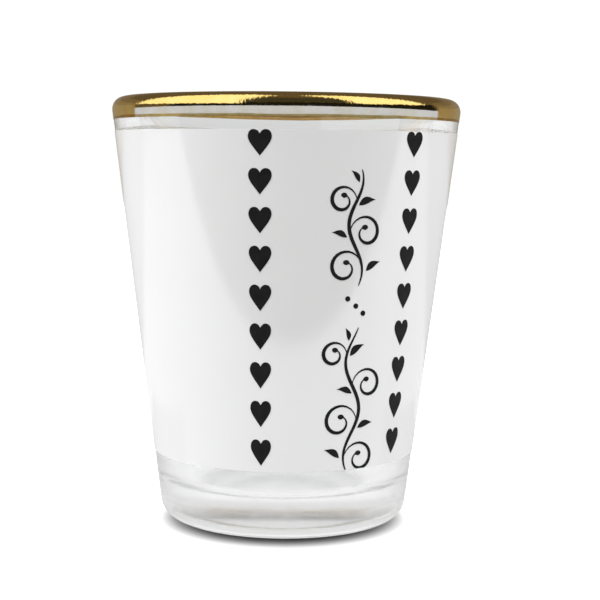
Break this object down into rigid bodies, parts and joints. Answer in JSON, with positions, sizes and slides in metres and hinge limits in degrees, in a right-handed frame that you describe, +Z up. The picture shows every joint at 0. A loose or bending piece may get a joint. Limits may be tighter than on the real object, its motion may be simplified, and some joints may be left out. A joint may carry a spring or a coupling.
{
  "type": "shot glass",
  "caption": "Small tapered drinking glass with a thick clear base, white outer coat, printed black hearts and leafy vine, and a gilded lip.",
  "frame": {"origin": "centre of the resting ring under the base, at table height", "axes": "+Z up along the glass's axis, the printed vine and hearts face -Y"},
  "size_m": [0.0494, 0.0494, 0.06],
  "materials": {
    "clear_glass": "clear polished moulded glass",
    "white_coat": "glossy white baked print coat",
    "gold_lustre": "bright fired metallic gold, mirror-like",
    "black_ink": "black print ink, satin"
  },
  "bodies": {
    "root": {"glass_body": "clear_glass", "white_coat": "white_coat", "gold_rim_band": "gold_lustre", "left_heart_1": "black_ink", "left_heart_2": "black_ink", "left_heart_3": "black_ink", "left_heart_4": "black_ink", "left_heart_5": "black_ink", "left_heart_6": "black_ink", "left_heart_7": "black_ink", "left_heart_8": "black_ink", "left_heart_9": "black_ink", "right_heart_1": "black_ink", "right_heart_2": "black_ink", "right_heart_3": "black_ink", "right_heart_4": "black_ink", "right_heart_5": "black_ink", "right_heart_6": "black_ink", "right_heart_7": "black_ink", "right_heart_8": "black_ink", "right_heart_9": "black_ink", "upper_vine": "black_ink", "lower_vine": "black_ink", "upper_leaf_1": "black_ink", "upper_leaf_2": "black_ink", "upper_leaf_3": "black_ink", "upper_leaf_4": "black_ink", "lower_leaf_1": "black_ink", "lower_leaf_2": "black_ink", "lower_leaf_3": "black_ink", "lower_leaf_4": "black_ink", "lower_leaf_5": "black_ink", "berry_1": "black_ink", "berry_2": "black_ink", "berry_3": "black_ink"}
  },
  "joints": []
}
